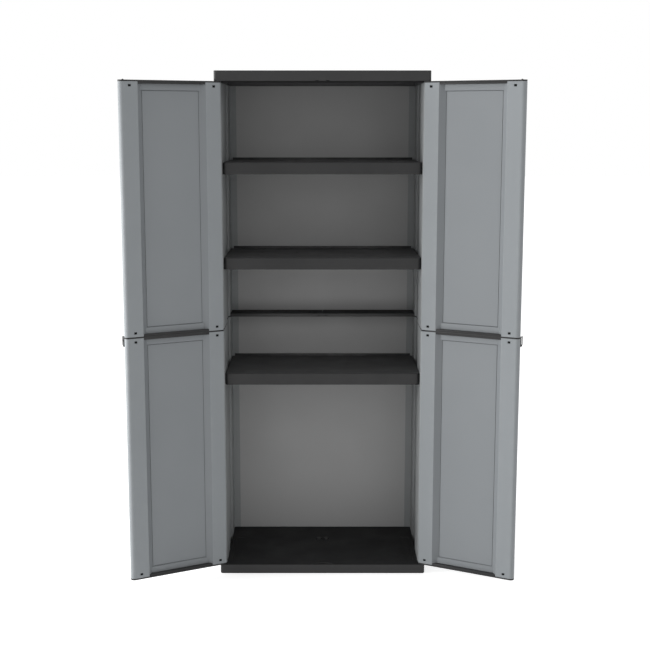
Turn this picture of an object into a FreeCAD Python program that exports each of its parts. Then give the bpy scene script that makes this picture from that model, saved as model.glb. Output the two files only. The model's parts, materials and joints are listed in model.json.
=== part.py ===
import FreeCAD, Part
import os
import re
import Sketcher
from FreeCAD import Vector

# Garden storage cabinet of moulded plastic panels, two doors and three lift-off shelves.
# Millimetres. X runs across the cabinet, Y from the front to the back, Z up. The origin is on the
# ground, under the middle of the base. The doors stand open, as they do at rest.

DRIVING_SIZES = [
    ("overall_width", 676, "cap and base, across"),
    ("overall_depth", 395, "cap and base, front to back"),
    ("overall_height", 1635, "ground to the top of the cap"),
    ("base_height", 30.5, "base tray"),
    ("cap_height", 32, "cap skirt"),
    ("moulded_wall", 3, "skirt and top plate of the cap, plate of the base"),
    ("base_rim_wall", 6.5, "front wall of the base under its plate"),
    ("corner_radius", 8, "upright corners of cap and base"),
    ("base_foot_radius", 3, "rounding under the base"),
    ("cap_edge_radius", 1.5, "rounding on top of the cap"),
    ("rib_thickness", 2.5, "stiffening ribs and inner rims"),
    ("rib_clearance", 8, "open space kept under the ribs of cap and shelves"),
    ("foot_radius", 15, "round foot under the middle of the base"),
    ("trough_floor", 6, "plastic under the panels that stand in the base"),
    ("cap_engagement", 25, "length of the panels inside the cap"),
    ("stop_drop", 5, "inner rim of the cap below its skirt"),
    ("fit_gap", 0.3, "free space between parts that plug together"),
    ("side_inset", 3.5, "outside of a side panel from the edge of the cap"),
    ("side_thickness", 17, "side panel"),
    ("side_wall", 2.5, "wall of the hollow stiles of a side panel"),
    ("side_web", 3, "thin middle of a side panel"),
    ("side_recess", 6, "hollow of the inner face of a side panel"),
    ("side_bevel", 8, "slope round the outer hollow of a side panel"),
    ("front_stile", 130, "thick front stretch of a side panel"),
    ("rear_stile", 99, "thick rear stretch of a side panel"),
    ("side_edge_radius", 5, "rounded front edges of a side panel"),
    ("return_width", 21.5, "rear return that holds the back sheet"),
    ("return_lip", 2.5, "lip of the rear return"),
    ("sheet_thickness", 2.2, "fluted back sheet"),
    ("sheet_play", 0.2, "play of the back sheet in its groove"),
    ("sheet_engagement", 9, "width of the back sheet inside its groove"),
    ("door_thickness", 24, "door stile"),
    ("door_setback", 2, "outer face of a closed door behind the front of the base"),
    ("door_stop_gap", 2, "closed door to the side panels"),
    ("door_edge_inset", 0.5, "hinge edge of a door from the edge of the cap"),
    ("door_meeting_gap", 2, "between the two closed doors"),
    ("door_gap_below", 1, "door above the base"),
    ("door_gap_above", 0.6, "door below the cap"),
    ("door_open_angle", 152.2, "turn of a door from closed to where it rests"),
    ("hinge_stile", 45.5, "hinge stile, from the pivot"),
    ("free_stile", 57.7, "stile at the free edge"),
    ("stile_wall", 2.5, "wall of the hollow door stiles"),
    ("hinge_flat", 7.2, "flat on the hinge end of a door, from the pivot"),
    ("hinge_flat_wall", 1.8, "wall of that flat"),
    ("hinge_flat_turn", 157, "way that flat faces, from the length of the door"),
    ("door_recess", 17, "hollow of the inner face of a door"),
    ("door_web", 2.8, "thin middle of a door"),
    ("door_outer_shift", 5.5, "outer hollow starts this much further in than the inner one"),
    ("door_outer_bevel", 5, "slope round the outer hollow of a door"),
    ("ledge_height", 25, "thicker band at each end of a door panel"),
    ("ledge_step", 4, "that band in front of the thin middle"),
    ("strip_thickness", 4.5, "black strips between and at the ends of the panels"),
    ("rail_lap", 6.3, "strip rail that laps over the end of a panel"),
    ("rail_setback", 1, "rail behind the faces of the stiles"),
    ("tongue_height", 20, "strip tongues inside the hollow stiles"),
    ("clip_inset", 12, "snap windows from the end of a panel"),
    ("hinge_clip", 19, "snap window of the hinge stile, from the pivot"),
    ("free_clip", 32.5, "snap window of the free stile, from the free edge"),
    ("clip_width", 9, "snap window"),
    ("clip_height", 7, "snap window"),
    ("clip_sink", 0.4, "snap nose below the face and inside its window"),
    ("pivot_radius", 4, "door pivots and hinge pins"),
    ("pivot_clearance", 0.05, "free space round a pivot"),
    ("pivot_reach", 12, "pivot length inside its boss"),
    ("pivot_end_gap", 1.5, "bottom of a pivot hole past the end of the pivot"),
    ("boss_wall", 4, "plastic round a pivot hole"),
    ("tab_thickness", 3.9, "hinge tab at half height"),
    ("tab_neck", 14, "width of the neck of the hinge tab"),
    ("tab_gap", 0.7, "hinge tab to the door strip beside it"),
    ("tab_side_gap", 4.5, "round end of the hinge tab inside the door thickness"),
    ("catch_radius", 3.5, "catch nub on top of a door"),
    ("catch_rise", 2.5, "catch nub above the door"),
    ("catch_inset", 15.5, "catch nub from the free edge"),
    ("catch_notch_width", 10, "notch of the cap that lets the nub in"),
    ("catch_notch_height", 2.4, "notch of the cap that lets the nub in"),
    ("lug_thickness", 5, "padlock plate of the left door"),
    ("lug_reach", 16, "padlock plate and loop in front of the closed door"),
    ("lug_height", 32, "padlock plate and loop"),
    ("lug_inset", 1.5, "padlock plate and loop from the free edge"),
    ("lug_chamfer", 6, "lower outer corner of the padlock plate"),
    ("lug_hole_radius", 4, "hole for the padlock"),
    ("lug_hole_drop", 13, "that hole below the top of the plate"),
    ("loop_thickness", 2.5, "padlock loop of the right door"),
    ("loop_bar", 2.6, "bars of the loop"),
    ("brace_front", 304, "front of the rear brace, from the front of the base"),
    ("brace_height", 11, "rear brace"),
    ("brace_rise", 8.35, "top of the rear brace above half height"),
    ("brace_wall", 2.5, "walls of the rear brace"),
    ("brace_window", 12.75, "snap window of the brace from the middle"),
    ("brace_window_width", 7.5, "snap window of the brace"),
    ("brace_window_height", 5, "snap window of the brace"),
    ("joiner_length", 76, "joiner inside the two halves of the brace"),
    ("shelf_height", 37.4, "skirt of a shelf"),
    ("shelf_plate", 3, "top plate and skirt of a shelf"),
    ("shelf_front_gap", 8, "shelf behind the front of the side panels"),
    ("shelf_side_gap", 1, "shelf to a side panel"),
    ("shelf_back_gap", 37, "shelf to the rear return"),
    ("shelf_lip", 7.5, "lip along the back of a shelf"),
    ("shelf_corner", 10, "upright corners of a shelf"),
    ("shelf_edge", 2.5, "rounding on top of a shelf"),
    ("upper_shelf_top", 1350.9, "upper shelf above the ground"),
    ("middle_shelf_top", 1047.5, "middle shelf above the ground"),
    ("lower_shelf_top", 669.7, "lower shelf above the ground"),
    ("dimple_radius", 5, "gate dimples on a shelf"),
    ("dimple_depth", 0.8, "gate dimples on a shelf"),
    ("outer_dimple", 203, "outer dimples from the middle"),
    ("inner_dimple", 85, "inner dimples from the middle"),
    ("dimple_place", 174, "dimples behind the front of the shelf"),
    ("peg_width", 12, "shelf peg"),
    ("peg_height", 8, "shelf peg"),
    ("peg_drop", 15.4, "top of a peg below the top of its shelf"),
    ("peg_reach", 12.5, "shelf peg out of the side panel"),
    ("peg_tail", 2.5, "shelf peg inside the hollow stile"),
    ("peg_clearance", 0.1, "free space round a peg in its hole"),
    ("front_peg", 32, "front peg from the front of the side panel"),
    ("rear_peg", 24, "rear peg behind the front of the rear stile"),
    ("scoop_radius", 45, "finger scoop of the base"),
    ("scoop_length", 74, "finger scoop of the base, across"),
    ("scoop_depth", 2, "finger scoop of the base"),
    ("slot_from_middle", 273, "shallow slots in the plate of the base"),
    ("slot_width", 30, "shallow slots in the plate of the base"),
    ("slot_start", 42, "shallow slots from the front of the base"),
    ("slot_length", 228, "shallow slots in the plate of the base"),
    ("slot_depth", 1.6, "shallow slots in the plate of the base"),
    ("post_radius", 7, "two posts in the middle of the base"),
    ("post_height", 4, "those posts above the plate of the base"),
    ("post_spacing", 24.6, "two posts in the middle of the base"),
    ("post_place", 256, "two posts from the front of the base"),
    ("well_radius", 11.3, "round well that each post stands in"),
    ("well_depth", 6, "round well that each post stands in"),
]
SIZE_NAMES = [name for name, number, use in DRIVING_SIZES]

# Sizes that follow from the driving ones.
WORKED_OUT = {
    "front": "-overall_depth / 2",
    "back": "overall_depth / 2",
    "half_width": "overall_width / 2",
    "half_leaf": "door_thickness / 2",
    "skirt_inside": "half_width - moulded_wall",
    "skirt_back": "back - moulded_wall",
    "side_outer": "half_width - side_inset",
    "side_inner": "side_outer - side_thickness",
    "side_front": "front + door_setback + door_thickness + door_stop_gap",
    "side_back": "skirt_back - fit_gap",
    "rear_stile_start": "side_back - rear_stile",
    "return_depth": "2 * return_lip + sheet_thickness + 2 * sheet_play",
    "return_front": "side_back - return_depth",
    "return_edge": "side_inner - return_width",
    "sheet_half": "return_edge + sheet_engagement",
    "sheet_front": "return_front + return_lip + sheet_play",
    "trough_inside": "side_inner - fit_gap",
    "trough_front": "side_front - fit_gap",
    "trough_back": "return_front - fit_gap",
    "rim_inside": "trough_inside - rib_thickness",
    "rim_back": "trough_back - rib_thickness",
    "cap_bottom": "overall_height - cap_height",
    "hinge_x": "half_width - door_edge_inset - half_leaf",
    "hinge_y": "front + door_setback + half_leaf",
    "leaf": "hinge_x - door_meeting_gap / 2",
    "free_x": "leaf - free_stile",
    "round_x": "leaf - half_leaf",
    "catch_x": "leaf - catch_inset",
    "web_inner": "half_leaf - door_recess",
    "web_outer": "web_inner - door_web",
    "stile_hollow": "half_leaf - stile_wall",
    "wall_run": "stile_wall * (sqrt(2) - 1)",
    "ledge_face": "web_inner + ledge_step",
    "rail_face": "half_leaf - rail_setback",
    "rail_back": "ledge_face + fit_gap",
    "tongue_face": "stile_hollow - fit_gap",
    "door_bottom": "base_height + door_gap_below",
    "door_top": "cap_bottom - door_gap_above",
    "door_panel": "(door_top - door_bottom - 3 * strip_thickness) / 2",
    "mid_height": "door_bottom + strip_thickness * 1.5 + door_panel",
    "mid_low": "mid_height - strip_thickness / 2",
    "mid_high": "mid_height + strip_thickness / 2",
    "side_low": "trough_floor + fit_gap",
    "side_high": "cap_bottom + cap_engagement",
    "tab_radius": "half_leaf - tab_side_gap",
    "brace_y": "front + brace_front",
    "brace_back": "side_back - return_lip",
    "brace_top": "mid_height + brace_rise",
    "brace_bottom": "brace_top - brace_height",
    "shelf_half": "side_inner - shelf_side_gap",
    "shelf_front": "side_front + shelf_front_gap",
    "shelf_back": "return_front - shelf_back_gap",
    "front_peg_y": "side_front + front_peg",
    "rear_peg_y": "rear_stile_start + rear_peg",
    "lug_top": "strip_thickness / 2",
    "lug_bottom": "lug_top - lug_height",
    "lug_outer": "-half_leaf - lug_reach",
}

document = FreeCAD.newDocument("storage_cabinet")
sheet = document.addObject("Spreadsheet::Sheet", "Sizes")
for row, (name, number, use) in enumerate(DRIVING_SIZES, 1):
    sheet.set("A%d" % row, name)
    sheet.set("B%d" % row, str(number))
    sheet.setAlias("B%d" % row, name)
    sheet.set("C%d" % row, use)
document.recompute()

pieces = {}


def formula(text):
    """A size formula with every name turned into its cell."""
    def cell(match):
        name = match.group(0)
        if name in WORKED_OUT:
            return "(" + formula(WORKED_OUT[name]) + ")"
        if name in SIZE_NAMES:
            return "Sizes." + name
        if name == "sqrt":
            return name
        raise ValueError("no size is called " + name)
    return re.sub(r"[A-Za-z_][A-Za-z_0-9]*", cell, str(text))


def bind(thing, **formulas):
    """Tie properties of a document object to formulas."""
    for name, text in formulas.items():
        thing.setExpression(name.replace("__", "."), formula(text))
    return thing


def place(thing, x="0", y="0", z="0"):
    """Tie the place of a document object to formulas."""
    return bind(thing, Placement__Base__x=x, Placement__Base__y=y, Placement__Base__z=z)


def box(x, y, z):
    """A box between two corners; each argument is a pair of formulas."""
    block = document.addObject("Part::Box", "Block")
    place(block, x[0], y[0], z[0])
    return bind(
        block,
        Length="(%s) - (%s)" % (x[1], x[0]),
        Width="(%s) - (%s)" % (y[1], y[0]),
        Height="(%s) - (%s)" % (z[1], z[0]),
    )


def upright(x, y, z, radius):
    """An upright round between two heights."""
    rod = document.addObject("Part::Cylinder", "Round")
    place(rod, x, y, z[0])
    return bind(rod, Radius=radius, Height="(%s) - (%s)" % (z[1], z[0]))


def fuse(*things):
    whole = document.addObject("Part::MultiFuse", "Whole")
    whole.Shapes = list(things)
    whole.Refine = True
    return whole


def cut(thing, *tools):
    rest = document.addObject("Part::Cut", "Rest")
    rest.Base = thing
    rest.Tool = tools[0] if len(tools) == 1 else fuse(*tools)
    return rest


def common(first, second):
    shared = document.addObject("Part::Common", "Shared")
    shared.Base = first
    shared.Tool = second
    return shared


def group(*things):
    """Separate solids of one kind that share a node."""
    several = document.addObject("Part::Compound", "Several")
    several.Links = list(things)
    return several


def keep(name, thing):
    """Give a finished piece its name."""
    thing.Label = name
    pieces[name] = thing
    return thing


def mirrored(name, thing):
    """The same piece on the right-hand side of the cabinet."""
    twin = document.addObject("Part::Mirroring", "Twin")
    twin.Source = thing
    twin.Base = Vector(0, 0, 0)
    twin.Normal = Vector(1, 0, 0)
    return keep(name, twin)


def origin_plane(body, role):
    for feature in body.Origin.OriginFeatures:
        if feature.Role == role:
            return feature
    raise RuntimeError("the body has no " + role)


probe = document.addObject("App::FeaturePython", "Probe")
probe.addProperty("App::PropertyFloat", "Reading")


def number(text):
    """The present value of a formula."""
    probe.setExpression("Reading", formula(text))
    probe.recompute()
    return probe.Reading


class Outline:
    """A sketch of closed loops, whose corners follow formulas."""

    def __init__(self, body, offset="0", plane="XY_Plane"):
        self.sketch = body.newObject("Sketcher::SketchObject", "Outline")
        self.sketch.AttachmentSupport = [(origin_plane(body, plane), "")]
        self.sketch.MapMode = "FlatFace"
        bind(self.sketch, AttachmentOffset__Base__z=offset)

    def loop(self, corners, rounds=()):
        """A clockwise loop through the corners, with a half round after each corner in rounds."""
        count = len(corners)
        start = self.sketch.GeometryCount
        points = [Vector(number(x), number(y), 0) for x, y in corners]
        for index, here in enumerate(points):
            there = points[(index + 1) % count]
            if index in rounds:
                outward = Vector(here.y - there.y, there.x - here.x, 0)
                top = (here + there + outward) * 0.5
                edge = Part.Arc(here, top, there)
            else:
                edge = Part.LineSegment(here, there)
            self.sketch.addGeometry(edge, False)
        for index, (x, y) in enumerate(corners):
            edge = start + index
            before = start + (index - 1) % count
            here = self.end_at(edge, points[index])
            there = self.end_at(before, points[index])
            self.sketch.addConstraint(Sketcher.Constraint("Coincident", before, there, edge, here))
            self.hold(edge, here, x, y)
            if index in rounds:
                self.sketch.addConstraint(Sketcher.Constraint("Vertical", edge, 3, edge, here))
        return self

    def end_at(self, edge, point):
        """Which end of an edge lies at a point, because an arc can be stored the other way round."""
        return 1 if self.sketch.getPoint(edge, 1).distanceToPoint(point) < 1e-6 else 2

    def hold(self, edge, end, x, y):
        """Hold an end of an edge at formulas, or on an axis where they are zero."""
        for kind, axis, text in (("DistanceX", -2, x), ("DistanceY", -1, y)):
            if text == "0":
                self.sketch.addConstraint(Sketcher.Constraint("PointOnObject", edge, end, axis))
                continue
            constraint = Sketcher.Constraint(kind, -1, 1, edge, end, number(text))
            index = self.sketch.addConstraint(constraint)
            self.sketch.setExpression("Constraints[%d]" % index, formula(text))

    def pad(self, body, length, down=False, both_ways=False):
        feature = body.newObject("PartDesign::Pad", "Pad")
        feature.Profile = self.sketch
        feature.Reversed = down
        feature.Midplane = both_ways
        return bind(feature, Length=length)

    def pocket(self, body, depth, upwards=False):
        feature = body.newObject("PartDesign::Pocket", "Pocket")
        feature.Profile = self.sketch
        feature.Reversed = upwards
        return bind(feature, Length=depth)


def rectangle(x, y):
    """The corners of a rectangle, clockwise."""
    return [(x[0], y[1]), (x[1], y[1]), (x[1], y[0]), (x[0], y[0])]


def rounded(body, feature, radius, chosen):
    """Round the edges of a feature whose bounding box passes a test."""
    document.recompute()
    whole = feature.Shape.BoundBox
    names = []
    for index, edge in enumerate(feature.Shape.Edges, 1):
        if chosen(edge.BoundBox, whole):
            names.append("Edge%d" % index)
    fillet = body.newObject("PartDesign::Fillet", "Fillet")
    fillet.Base = (feature, names)
    return bind(fillet, Radius=radius)


def is_outer_corner(edge, whole):
    """An upright edge at one of the four outermost corners."""
    at_side = edge.XMax < whole.XMin + 1e-6 or edge.XMin > whole.XMax - 1e-6
    at_end = edge.YMax < whole.YMin + 1e-6 or edge.YMin > whole.YMax - 1e-6
    return at_side and at_end


def is_top(edge, whole):
    return edge.ZMin > whole.ZMax - 1e-6


def is_bottom(edge, whole):
    return edge.ZMax < whole.ZMin + 1e-6


def is_front_upright(edge, whole):
    return edge.YMax < whole.YMin + 1e-6 and edge.ZLength > 0.5 * whole.ZLength


PIVOT_BORE = "pivot_radius + pivot_clearance"
PEG_TOPS = ["%s_shelf_top - peg_drop" % level for level in ("upper", "middle", "lower")]
PEG_PLACES = ("front_peg_y", "rear_peg_y")


def signed(sign, low, high):
    """A height range above the middle, or the same range below it."""
    return (low, high) if sign > 0 else ("-(%s)" % high, "-(%s)" % low)


def around(middle, width):
    """A range of a given width about a middle."""
    return ("(%s) - (%s) / 2" % (middle, width), "(%s) + (%s) / 2" % (middle, width))


def grid_of_ribs(x_half, y_range, z_range, across=4, along=2):
    """Ribs that cross under a plate: so many that run along Y, and so many along X."""
    ribs = []
    for index in range(1, across + 1):
        middle = "-(%s) + 2 * (%s) * %d / %d" % (x_half, x_half, index, across + 1)
        ribs.append(box(around(middle, "rib_thickness"), y_range, z_range))
    for index in range(1, along + 1):
        middle = "(%s) + ((%s) - (%s)) * %d / %d" % (
            y_range[0], y_range[1], y_range[0], index, along + 1)
        ribs.append(box(("-(%s)" % x_half, x_half), around(middle, "rib_thickness"), z_range))
    return ribs


# Base tray

def base_tray():
    """A low box: hollow below, with a trough round three sides that the panels stand in."""
    body = document.addObject("PartDesign::Body", "BaseBody")
    block = Outline(body).loop(rectangle(("-half_width", "half_width"), ("front", "back")))
    block = block.pad(body, "base_height")
    corners = rounded(body, block, "corner_radius", is_outer_corner)
    rounded(body, corners, "base_foot_radius", is_bottom)
    hollow = [
        ("-rim_inside", "rim_back"),
        ("rim_inside", "rim_back"),
        ("rim_inside", "trough_front - rib_thickness"),
        ("half_width - base_rim_wall", "trough_front - rib_thickness"),
        ("half_width - base_rim_wall", "front + base_rim_wall"),
        ("-half_width + base_rim_wall", "front + base_rim_wall"),
        ("-half_width + base_rim_wall", "trough_front - rib_thickness"),
        ("-rim_inside", "trough_front - rib_thickness"),
    ]
    Outline(body).loop(hollow).pocket(body, "base_height - moulded_wall", upwards=True)
    trough = [
        ("-skirt_inside", "skirt_back"),
        ("skirt_inside", "skirt_back"),
        ("skirt_inside", "trough_front"),
        ("trough_inside", "trough_front"),
        ("trough_inside", "trough_back"),
        ("-trough_inside", "trough_back"),
        ("-trough_inside", "trough_front"),
        ("-skirt_inside", "trough_front"),
    ]
    Outline(body, "base_height").loop(trough).pocket(body, "base_height - trough_floor")
    slots = Outline(body, "base_height")
    slot_y = ("front + slot_start", "front + slot_start + slot_length")
    slots.loop(rectangle(("slot_from_middle", "slot_from_middle + slot_width"), slot_y))
    slots.loop(rectangle(("-slot_from_middle - slot_width", "-slot_from_middle"), slot_y))
    slots.pocket(body, "slot_depth")
    under = "base_height - moulded_wall"
    added = grid_of_ribs("rim_inside", ("front + base_rim_wall", "rim_back"), ("0", under))
    added.append(upright("0", "0", ("0", under), "foot_radius"))
    bores = []
    for x in ("-hinge_x", "hinge_x"):
        depth = "base_height - pivot_reach - pivot_end_gap"
        boss = "pivot_radius + boss_wall"
        added.append(upright(x, "hinge_y", (depth + " - moulded_wall", "base_height"), boss))
        bores.append(upright(x, "hinge_y", (depth, "base_height + moulded_wall"), PIVOT_BORE))
    posts = []
    for x in ("-post_spacing / 2", "post_spacing / 2"):
        place_y = "front + post_place"
        floor = "base_height - well_depth"
        cup = (floor + " - rib_thickness", "base_height - moulded_wall / 2")
        added.append(upright(x, place_y, cup, "well_radius + rib_thickness"))
        bores.append(upright(x, place_y, (floor, "base_height + moulded_wall"), "well_radius"))
        height = (floor + " - rib_thickness / 2", "base_height + post_height")
        posts.append(upright(x, place_y, height, "post_radius"))
    scoop_z = ("base_height - scoop_depth", "base_height + moulded_wall")
    scoop_middle = "front + moulded_wall - sqrt(scoop_radius^2 - scoop_length^2 / 4)"
    round_scoop = upright("0", scoop_middle, scoop_z, "scoop_radius")
    ledge = box(("-scoop_length", "scoop_length"), ("front + moulded_wall", "trough_front"), scoop_z)
    return fuse(cut(fuse(body, *added), *bores, common(round_scoop, ledge)), *posts)


# Cap

def top_cap():
    """A skirted lid, with an inner rim that the doors close against and the panels plug behind."""
    body = document.addObject("PartDesign::Body", "CapBody")
    block = Outline(body, "cap_bottom")
    block.loop(rectangle(("-half_width", "half_width"), ("front", "back")))
    block = block.pad(body, "cap_height")
    corners = rounded(body, block, "corner_radius", is_outer_corner)
    rounded(body, corners, "cap_edge_radius", is_top)
    hollow = Outline(body, "cap_bottom")
    inside = ("front + moulded_wall", "skirt_back")
    hollow.loop(rectangle(("-skirt_inside", "skirt_inside"), inside))
    hollow.pocket(body, "cap_height - moulded_wall", upwards=True)
    plate = "overall_height - moulded_wall"
    rim_z = ("cap_bottom - stop_drop", plate)
    rim_y = ("side_front", "trough_back")
    added = [
        box(("-trough_inside", "-rim_inside"), rim_y, rim_z),
        box(("rim_inside", "trough_inside"), rim_y, rim_z),
        box(("-trough_inside", "trough_inside"), ("side_front", "side_front + rib_thickness"), rim_z),
        box(("-trough_inside", "trough_inside"), ("rim_back", "trough_back"), rim_z),
    ]
    added += grid_of_ribs("rim_inside", rim_y, ("cap_bottom + rib_clearance", plate))
    gaps = []
    for x in ("-hinge_x", "hinge_x"):
        boss = "pivot_radius + boss_wall"
        added.append(upright(x, "hinge_y", ("cap_bottom", plate), boss))
        end = "cap_bottom + pivot_reach + pivot_end_gap"
        gaps.append(upright(x, "hinge_y", ("cap_bottom - moulded_wall", end), PIVOT_BORE))
    for x in ("catch_x - hinge_x", "hinge_x - catch_x"):
        notch_z = ("cap_bottom - moulded_wall", "cap_bottom + catch_notch_height")
        notch_y = ("front - moulded_wall", "front + moulded_wall * 2")
        gaps.append(box(around(x, "catch_notch_width"), notch_y, notch_z))
    return cut(fuse(body, *added), *gaps)


# Side panels

def side_panel(z):
    """A left side panel between two heights: two hollow stiles and a thin middle between them."""
    body = document.addObject("PartDesign::Body", "SideBody")
    middle = "-side_inner - side_recess"
    outer_middle = "-side_inner - side_recess - side_web"
    groove = "-sheet_half - sheet_play"
    stile_end = "side_front + front_stile"
    profile = Outline(body, z[0])
    profile.loop([
        ("-side_inner", "side_front"),
        ("-side_outer", "side_front"),
        ("-side_outer", stile_end + " + side_wall"),
        (outer_middle, stile_end + " + side_wall + side_bevel"),
        (outer_middle, "rear_stile_start - side_wall - side_bevel"),
        ("-side_outer", "rear_stile_start - side_wall"),
        ("-side_outer", "side_back"),
        ("-return_edge", "side_back"),
        ("-return_edge", "side_back - return_lip"),
        (groove, "side_back - return_lip"),
        (groove, "return_front + return_lip"),
        ("-return_edge", "return_front + return_lip"),
        ("-return_edge", "return_front"),
        ("-side_inner", "return_front"),
        ("-side_inner", "rear_stile_start"),
        (middle, "rear_stile_start - side_recess"),
        (middle, stile_end + " + side_recess"),
        ("-side_inner", stile_end),
    ])
    across = ("-side_outer + side_wall", "-side_inner - side_wall")
    profile.loop(rectangle(across, ("side_front + side_wall", stile_end + " - side_wall")))
    profile.loop(rectangle(across, ("rear_stile_start + side_wall", "return_front - side_wall")))
    shell = profile.pad(body, "(%s) - (%s)" % (z[1], z[0]))
    rounded(body, shell, "side_edge_radius", is_front_upright)
    holes = []
    for top in PEG_TOPS:
        for y in PEG_PLACES:
            holes.append(box(
                ("-side_inner - side_wall * 1.5", "-side_inner + side_wall"),
                around(y, "peg_width + 2 * peg_clearance"),
                (top + " - peg_height - peg_clearance", top + " + peg_clearance"),
            ))
    return cut(body, *holes)


def side_strip():
    """The strip between the two left side panels, with the tab of the middle hinge."""
    body = document.addObject("PartDesign::Body", "SideStripBody")
    middle = "-side_inner - side_recess"
    plate = Outline(body, "mid_height").loop([
        ("-side_outer", "side_front"),
        ("-side_outer", "side_back"),
        ("-side_inner", "side_back"),
        ("-side_inner", "rear_stile_start"),
        (middle, "rear_stile_start - side_recess"),
        (middle, "side_front + front_stile + side_recess"),
        ("-side_inner", "side_front + front_stile"),
        ("-side_inner", "side_front"),
    ])
    plate.pad(body, "strip_thickness", both_ways=True)
    parts = [body]
    across = ("-side_outer + side_wall + fit_gap", "-side_inner - side_wall - fit_gap")
    inset = "side_wall - fit_gap"
    lengths = [
        ("side_front + side_wall + fit_gap", "side_front + front_stile - " + inset + " - 2 * fit_gap"),
        ("rear_stile_start + side_wall + fit_gap", "return_front - " + inset + " - 2 * fit_gap"),
    ]
    heights = [
        ("mid_high", "mid_high + tongue_height"),
        ("mid_low - tongue_height", "mid_low"),
    ]
    for along in lengths:
        for height in heights:
            parts.append(box(across, along, height))
    tab_z = around("mid_height", "tab_thickness")
    parts.append(upright("-hinge_x", "hinge_y", tab_z, "tab_radius"))
    neck_y = ("hinge_y", "side_front + tab_thickness")
    parts.append(box(around("-hinge_x", "tab_neck"), neck_y, tab_z))
    return cut(fuse(*parts), upright("-hinge_x", "hinge_y", tab_z, PIVOT_BORE))


def hinge_pin():
    """The pin that turns in both tongues of a door's middle strip."""
    reach = "strip_thickness / 2 + tongue_height"
    return upright("-hinge_x", "hinge_y", around("mid_height", "2 * (%s)" % reach), "pivot_radius")


# Rear brace and back sheets

def rear_brace():
    """The left half of the brace behind the middle strips: a channel that is open below."""
    height = ("brace_bottom", "brace_top")
    near_side = ("-side_inner + fit_gap", "-return_edge + fit_gap")
    beside_return = "return_front - fit_gap"
    beam = box(("-return_edge + fit_gap", "-fit_gap / 2"), ("brace_y", "brace_back"), height)
    end = box(near_side, ("brace_y", beside_return), height)
    corner = box(near_side, (beside_return, "brace_back"), ("mid_low + fit_gap", "mid_high - fit_gap"))
    hollow = box(
        ("-side_inner + fit_gap + brace_wall", "fit_gap"),
        ("brace_y + brace_wall", beside_return + " - brace_wall"),
        ("brace_bottom - brace_wall", "brace_top - brace_wall"),
    )
    window = box(
        around("-brace_window", "brace_window_width"),
        ("brace_y - brace_wall", "brace_y + 1.5 * brace_wall"),
        around(BRACE_WINDOW_HEIGHT, "brace_window_height"),
    )
    return cut(fuse(beam, end, corner), hollow, window)


BRACE_WINDOW_HEIGHT = "brace_bottom + (brace_height - brace_wall) / 2"


def brace_joiner():
    """The insert that snaps the two halves of the brace together."""
    inside = "brace_top - brace_wall - fit_gap"
    front = "brace_y + brace_wall + fit_gap"
    across = around("0", "joiner_length")
    rear = "return_front - 2 * fit_gap - brace_wall"
    plate = box(across, (front, rear), (inside + " - brace_wall", inside))
    bar = box(across, (front, front + " + brace_wall"), ("brace_bottom + fit_gap", inside))
    parts = [plate, bar]
    for x in ("-brace_window", "brace_window"):
        parts.append(box(
            around(x, "brace_window_width - 2 * clip_sink"),
            ("brace_y + clip_sink", front + " + fit_gap"),
            around(BRACE_WINDOW_HEIGHT, "brace_window_height - 2 * clip_sink"),
        ))
    return fuse(*parts)


def back_sheet(z):
    return box(("-sheet_half", "sheet_half"), ("sheet_front", "sheet_front + sheet_thickness"), z)


# Doors

HINGE_CLIP = "hinge_clip"
FREE_CLIP = "leaf - free_clip"


def hinge_slice(near, far, radius, z):
    """What lies between two distances from the pivot, on the side that the flat faces."""
    slab = box((near, far), ("-" + radius, radius), z)
    return bind(common(slab, upright("0", "0", z, radius)), Placement__Rotation__Angle="hinge_flat_turn")


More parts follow.
